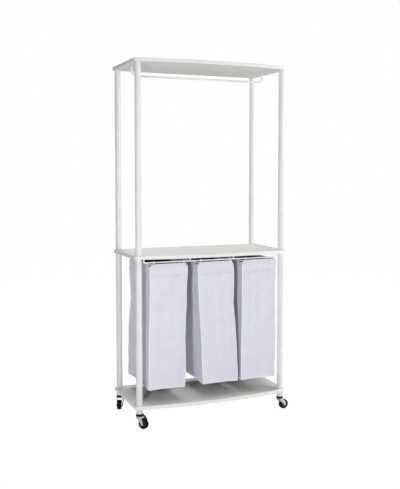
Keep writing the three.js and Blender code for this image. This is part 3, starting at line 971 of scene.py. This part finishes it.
def build_bag_frame(side):
    """Wire loop in the casing, with four hooks over the rails."""
    node = f"bag_frame_{side}"
    low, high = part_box(node)
    centre = (low + high) / 2
    square = ((-1, -1), (1, -1), (1, 1), (-1, 1))
    ring = bent(
        [(centre.x + sx * LOOP_X, centre.y + sy * LOOP_Y, LOOP_Z) for sx, sy in square],
        LOOP_BEND, 8, closed=True,
    )
    parts = [tube(ring, WIRE_R, 14, closed=True, up=(0, 0, 1))]
    rail_low, rail_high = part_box("rear_rail")
    rail_y = (rail_low.y + rail_high.y) / 2 - centre.y
    rail_z = rail_low.z + RAIL_R
    reach = HOOK_REACH
    crest = rail_z + RAIL_R + 0.3 * MM + HOOK_R
    path = [(LOOP_Y, LOOP_Z), (rail_y - reach + MM, LOOP_Z + 5 * MM)]
    path += [
        (rail_y - reach * math.cos(a), rail_z + (crest - rail_z) * math.sin(a))
        for a in (math.pi * k / 12 for k in range(13))
    ]
    path.append((rail_y + reach, rail_z - 5 * MM))
    for sx, sy in square:
        spots = [(centre.x + sx * HOOK_X, centre.y + sy * y, z) for y, z in path]
        parts.append(tube(spots, HOOK_R, 10, up=(1, 0, 0)))
    obj = from_data(f"bag_{side}_wire", *joined(*parts), WIRE_COAT_LIT)
    attach(obj, f"bag_{side}_unit", node)


# ---- casters ----
# Drawn with the swivel axis on Z and the axle at x = TRAIL, then moved. Tables are in mm.
TRAIL = 25 * MM
CAP_R = 17.5 * MM
STEM_BORE = 4.5 * MM  # hole for the stem in the cap
CROWN_BORE = 4.6 * MM  # and in the fork's crown
CHEEK_IN = 12.4 * MM  # from the wheel's middle to the fork's inner faces
CHEEK_T = 2.0 * MM
FORK_HALF = CHEEK_IN + CHEEK_T
CROWN_T = 2.5 * MM
CROWN_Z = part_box("fork_front_left")[1].z - CROWN_T
CROWN_TOP = CROWN_Z + CROWN_T
CROWN_BACK = -9 * MM  # the crown's ends, where its bowed edges start
CROWN_FRONT = 12 * MM
CROWN_BOW = 15.5 * MM
BOSS_R = 7 * MM  # the cheeks' round foot about the axle
BOLT_R = 3 * MM
RACE = ((5, -0.4), (12.5, -0.4), (13.5, 0.15), (12.5, 0.45), (5, 0.45))  # (radius, above the crown)
NUT = ((0, 0), (5.4, 0), (5.4, 2.2), (4.6, 3), (0, 3))  # (radius, outwards)
BOLT_HEAD = ((0, 3), (3.4, 2.8), (4.8, 1.6), (5.2, 0), (0, 0))
RIBS = 6
LEVER_IN = 14 * MM  # the brake lever's reach sideways, before it is cut to its section
LEVER_OUT = 24 * MM
LEVER_BORE = 5.6 * MM
LEVER_SIDE = (  # brake lever seen along the axle: (x, z)
    (18, 18.5), (21.5, 16.2), (28.5, 16.2), (32.5, 19.5), (33.5, 29), (32.5, 38.5), (28.5, 47),
    (21, 55.5), (11.5, 62.5), (5.5, 67), (3.5, 72), (-4.5, 72), (-7.5, 67), (-3, 60), (4.5, 51.5),
    (11, 42.5), (15, 33),
)
LEVER_SECTION = (  # brake lever seen along x, with the steps of its tread: (y, z)
    (14.8, 15), (18.2, 15), (18.2, 26), (19.4, 32), (21.6, 39), (22.7, 48), (22.5, 56),
    (23.0, 57.2), (22.3, 58.4), (22.2, 60.2), (22.5, 61.4), (21.6, 62.6), (21.3, 64.4),
    (21.4, 65.6), (20.4, 66.8), (19.6, 68.6), (19.2, 70), (17.6, 73), (17.2, 69), (18.2, 66.5),
    (19.2, 62), (19.8, 55), (19.7, 48), (18.6, 40), (16.6, 33), (14.8, 28),
)
# Half profiles of the tread and the hub as (radius, height above the wheel's middle), and a rib.
TREAD_HALF = ((18.4, 9.4), (19.2, 10.5), (20.4, 10.8), (22.0, 10.4), (23.6, 9.2), (24.5, 7.8))
HUB_HALF = ((3.3, 11), (7, 11), (8, 10.4), (8.6, 8.4), (17.2, 8.8), (18, 10), (18.6, 9.6))
RIB = ((7.6, -0.8), (17.6, -0.6), (17.6, 0.6), (7.6, 0.8))
RIB_Z = (8.3 * MM, 9.7 * MM)
ON_AXLE = Matrix.Rotation(-math.pi / 2, 4, "X")  # z to y
SIDE_ON = Matrix(((1, 0, 0, 0), (0, 0, 1, 0), (0, 1, 0, 0), (0, 0, 0, 1)))  # x, y, z to x, z, y
END_ON = Matrix(((0, 0, -1, 0), (1, 0, 0, 0), (0, 1, 0, 0), (0, 0, 0, 1)))  # x, y, z to y, z, -x


def rounded_outline(points, radius, steps):
    """A polygon of (x, z) pairs with its corners softened."""
    result = []
    count = len(points)
    for i in range(count):
        p = Vector(points[i])
        u = Vector(points[i - 1]) - p
        v = Vector(points[(i + 1) % count]) - p
        reach = min(radius, u.length * 0.45, v.length * 0.45)
        a, b = p + u.normalized() * reach, p + v.normalized() * reach
        result += quadratic(a, p, b, steps)
    return result


def in_metres(pairs):
    return [(a * MM, b * MM) for a, b in pairs]


def mirrored(half):
    """A lathe profile followed by its mirror image in z."""
    return half + [(r, -z) for r, z in reversed(half)]


def caster_cap(corner, place):
    node = f"swivel_cap_{corner}"
    low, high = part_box(node)
    profile = [
        (STEM_BORE, low.z), (CAP_R - 1.5 * MM, low.z), (CAP_R - 0.3 * MM, low.z + 0.4 * MM),
        (CAP_R, low.z + 1.4 * MM), (CAP_R, high.z - 4.4 * MM),
        (CAP_R - 0.4 * MM, high.z - 3.4 * MM), (CAP_R - 2.2 * MM, high.z - 0.5 * MM),
        (CAP_R - 3.2 * MM, high.z), (STEM_BORE, high.z),
    ]
    cap = turned(f"cap_{corner}", profile, 48, BLACK, place, closed=True)
    bevel(cap, 0.3 * MM, 2)
    attach(cap, "stand", node)


def caster_fork(corner, place, axle_z):
    """Crown plate with a hole for the stem, and a cheek down each side to the axle."""
    back, front, half = CROWN_BACK, CROWN_FRONT, FORK_HALF
    crown = [(back, -half), (front, -half)]
    crown += quadratic((front, -half), (CROWN_BOW, 0), (front, half), 12)[1:-1]
    crown += [(front, half), (back, half)]
    crown += quadratic((back, half), (-CROWN_BOW, 0), (back, -half), 12)[1:-1]
    hole_z = CROWN_Z - MM
    hole = [(0, hole_z), (CROWN_BORE, hole_z), (CROWN_BORE, hole_z + 5 * MM), (0, hole_z + 5 * MM)]
    plate = drilled(slab(crown, CROWN_Z, CROWN_TOP, place), lathe(hole, 40, place), "crown")
    foot = [
        (TRAIL + BOSS_R * math.cos(a), axle_z + BOSS_R * math.sin(a))
        for a in (math.pi + 0.29 + (math.pi - 0.19) * k / 14 for k in range(15))
    ]
    shoulder = (back, CROWN_Z - 7 * MM)
    cheek = [(back, CROWN_TOP), shoulder]
    cheek += quadratic(shoulder, (8 * MM, axle_z + 14 * MM), foot[0], 8)[1:]
    cheek += foot[1:]
    cheek += quadratic(foot[-1], (27 * MM, CROWN_Z - 10 * MM), (front, CROWN_TOP), 8)[1:]
    near = slab(cheek, -half, -CHEEK_IN, place @ SIDE_ON)
    far = slab(cheek, CHEEK_IN, half, place @ SIDE_ON)
    fork = from_data(f"caster_fork_{corner}", *joined(plate, near, far), ZINC)
    bevel(fork, 0.6 * MM, 3, 40)
    attach(fork, f"swivel_{corner}", f"fork_{corner}")


def bearing_race(corner, place):
    """The thin ring that shows between the fork's crown and the cap."""
    profile = [(r * MM, CROWN_TOP + z * MM) for r, z in RACE]
    race = turned(f"bearing_race_{corner}", profile, 40, ZINC, place, closed=True)
    attach(race, f"swivel_{corner}")


def caster_bolt(corner, hub_place):
    """Axle bolt with a six-sided nut on one end and a domed head on the other."""
    reach = FORK_HALF + 0.3 * MM
    shank = [(0, -reach), (BOLT_R, -reach), (BOLT_R, reach), (0, reach)]
    nut = [(r * MM, reach + z * MM) for r, z in NUT]
    head = [(r * MM, -reach - z * MM) for r, z in BOLT_HEAD]
    parts = [lathe(shank, 20, hub_place), lathe(nut, 6, hub_place), lathe(head, 28, hub_place)]
    bolt = from_data(f"caster_bolt_{corner}", *joined(*parts), ZINC)
    bevel(bolt, 0.25 * MM, 2)
    attach(bolt, f"swivel_{corner}", f"axle_{corner}")


def caster_wheel(corner, hub_place, radius):
    """Rubber tread round a plastic hub with ribs on both faces."""
    profile = mirrored(in_metres(TREAD_HALF) + [(radius - 0.15 * MM, 6 * MM), (radius, 3 * MM)])
    tread = turned(f"tread_{corner}", profile, 96, TREAD, hub_place, closed=True)
    parts = [lathe(mirrored(in_metres(HUB_HALF)), 64, hub_place, closed=True)]
    for k in range(RIBS):
        spin = hub_place @ Matrix.Rotation(2 * math.pi * k / RIBS, 4, "Z")
        for low, high in (RIB_Z, (-RIB_Z[1], -RIB_Z[0])):
            parts.append(slab(in_metres(RIB), low, high, spin))
    hub = from_data(f"hub_{corner}", *joined(*parts), HUB)
    bevel(hub, 0.25 * MM, 2)
    attach(tread, f"roller_{corner}", f"wheel_{corner}")
    attach(hub, f"roller_{corner}")


def brake_lever(corner, place, hub_place):
    """Curved lever beside the wheel, turning about the axle: its side view cut to its section."""
    outline = rounded_outline(in_metres(LEVER_SIDE), 4 * MM, 3)
    blank = slab(outline, LEVER_IN, LEVER_OUT, place @ SIDE_ON)
    lever = from_data(f"brake_lever_arm_{corner}", *blank, BLACK)
    section = slab(in_metres(LEVER_SECTION), -38 * MM, 10 * MM, place @ END_ON)
    cut_with(lever, section, "lever_section", "INTERSECT")
    bore = [(0, 13 * MM), (LEVER_BORE, 13 * MM), (LEVER_BORE, 26 * MM), (0, 26 * MM)]
    cut_with(lever, lathe(bore, 48, hub_place), "lever_bore")
    bevel(lever, 0.5 * MM, 2, 30)
    attach(lever, f"brake_{corner}", f"brake_lever_{corner}")


def build_caster(corner):
    swivel = Vector(JOINTS[f"swivel_{corner}"]["pos_m"])
    axle = Vector(JOINTS[f"spin_{corner}"]["pos_m"])
    away = axle - swivel
    turn = Matrix.Rotation(math.atan2(away.y, away.x), 4, "Z")
    place = Matrix.Translation((swivel.x, swivel.y, 0)) @ turn
    hub_place = place @ Matrix.Translation((TRAIL, 0, axle.z)) @ ON_AXLE
    caster_cap(corner, place)
    caster_fork(corner, place, axle.z)
    bearing_race(corner, place)
    caster_bolt(corner, hub_place)
    caster_wheel(corner, hub_place, axle.z)
    if f"brake_lever_{corner}" in frame["nodes"]:
        brake_lever(corner, place, hub_place)


# ---- studio ----
WORLD_LIGHT = 0.18
FLOOR_HALF = 14  # half the floor's width
FLOOR_GLOW = 0.05  # light that the floor gives the cart
FLOOR_WHITE = 1.06  # plain white that the camera sees of the floor, and its share
FLOOR_SHARE = 0.93
LIGHTS = (  # name, azimuth (0 in front, positive to the cart's left), distance, height, size, power
    ("key", 35.5, 3.0, 1.06, 0.25, 34),
    ("overhead", -10, 1.3, 3.3, 1.4, 6),
    ("back", 180, 1.8, 3.2, 1.6, 54),
    ("right", -50, 3.0, 1.4, 1.6, 31),
    ("side", -86, 2.6, 1.9, 1.2, 24),
)
LIGHT_AIM = (0, 0, 0.9)


def studio():
    """White floor and backdrop, and soft round lights aimed at the middle of the cart."""
    half, z = FLOOR_HALF, -0.0005
    spots = [(-half, -half, z), (half, -half, z), (half, half, z), (-half, half, z)]
    floor = from_data("studio_floor", spots, [[0, 1, 2, 3]], studio_white())

    world = bpy.data.worlds.new("studio")
    bpy.context.scene.world = world
    world.use_nodes = True
    tree = world.node_tree
    lighting = tree.nodes["Background"]
    lighting.inputs["Color"].default_value = (1, 1, 1, 1)
    lighting.inputs["Strength"].default_value = WORLD_LIGHT
    backdrop = tree.nodes.new("ShaderNodeBackground")
    backdrop.inputs["Color"].default_value = (1, 1, 1, 1)
    rays = tree.nodes.new("ShaderNodeLightPath")
    mix = tree.nodes.new("ShaderNodeMixShader")
    tree.links.new(rays.outputs["Is Camera Ray"], mix.inputs["Fac"])
    tree.links.new(lighting.outputs["Background"], mix.inputs[1])
    tree.links.new(backdrop.outputs["Background"], mix.inputs[2])
    tree.links.new(mix.outputs["Shader"], tree.nodes["World Output"].inputs["Surface"])

    for name, azimuth, distance, height, size, power in LIGHTS:
        data = bpy.data.lights.new(name, "AREA")
        data.shape = "DISK"
        data.size = size
        data.energy = power
        light = bpy.data.objects.new(name, data)
        a = math.radians(azimuth)
        light.location = (-distance * math.sin(a), -distance * math.cos(a), height)
        towards = Vector(LIGHT_AIM) - light.location
        light.rotation_euler = towards.to_track_quat("-Z", "Y").to_euler()
        bpy.context.scene.collection.objects.link(light)
    bpy.context.scene.view_settings.view_transform = "Standard"


def studio_white():
    """White floor: it lights the cart from below, and keeps only a faint shadow for the camera."""
    shader = Shader("studio_white", (0.8, 0.8, 0.8), 0.9)
    shader.set("Emission Color", (1, 1, 1, 1))
    shader.set("Emission Strength", FLOOR_GLOW)
    shader.bump(shader.noise(40), 0.05, 0.001)
    plain = shader.node("ShaderNodeEmission", [("Strength", FLOOR_WHITE)])
    rays = shader.node("ShaderNodeLightPath")
    share = shader.node("ShaderNodeMath", [(1, FLOOR_SHARE)], operation="MULTIPLY")
    shader.link(rays.outputs["Is Camera Ray"], share.inputs[0])
    mix = shader.node("ShaderNodeMixShader")
    shader.link(share.outputs[0], mix.inputs["Fac"])
    shader.link(shader.base.outputs[0], mix.inputs[1])
    shader.link(plain.outputs[0], mix.inputs[2])
    shader.link(mix.outputs[0], shader.tree.nodes["Material Output"].inputs["Surface"])
    return shader.material


def camera():
    """The photograph's view of the cart, as fitted to its posts and boards."""
    data = bpy.data.cameras.new("camera")
    data.sensor_fit = "HORIZONTAL"
    data.sensor_width = 36
    data.lens = 67.6
    data.shift_y = -0.0588
    obj = bpy.data.objects.new("camera", data)
    obj.location = (-1.4907, -3.5728, 1.2373)
    pitch, yaw = 3.665, 22.425
    obj.rotation_euler = Euler((math.radians(90 - pitch), 0, math.radians(-yaw)))
    bpy.context.scene.collection.objects.link(obj)
    bpy.context.scene.camera = obj


# ---- assembly ----
for shelf in ("bottom_shelf", "middle_shelf", "top_shelf"):
    board(shelf)
for corner in CORNERS:
    post(f"lower_post_{corner}", f"lower_tube_{corner}")
    post(f"upper_post_{corner}", f"upper_tube_{corner}")
    collar(corner)
    screw_head(corner)
hung_rod("hanging_bar", "clothes_bar", COAT, BAR_R, BAR_BEND)
for end in ("front", "rear"):
    struts = (-STRUT_X, STRUT_X)
    hung_rod(f"{end}_rail", f"{end}_rail_rod", WIRE_COAT_LIT, RAIL_R, RAIL_BEND, struts)
for index, side in enumerate(BAGS):
    build_bag_frame(side)
    build_bag(side, 3.7 * index + 1.3)
for corner in CORNERS:
    build_caster(corner)
for name, obj in frame["nodes"].items():
    if name.startswith(("post_stud", "caster_stem")):
        obj.data.materials.clear()
        obj.data.materials.append(ZINC)
studio()
camera()
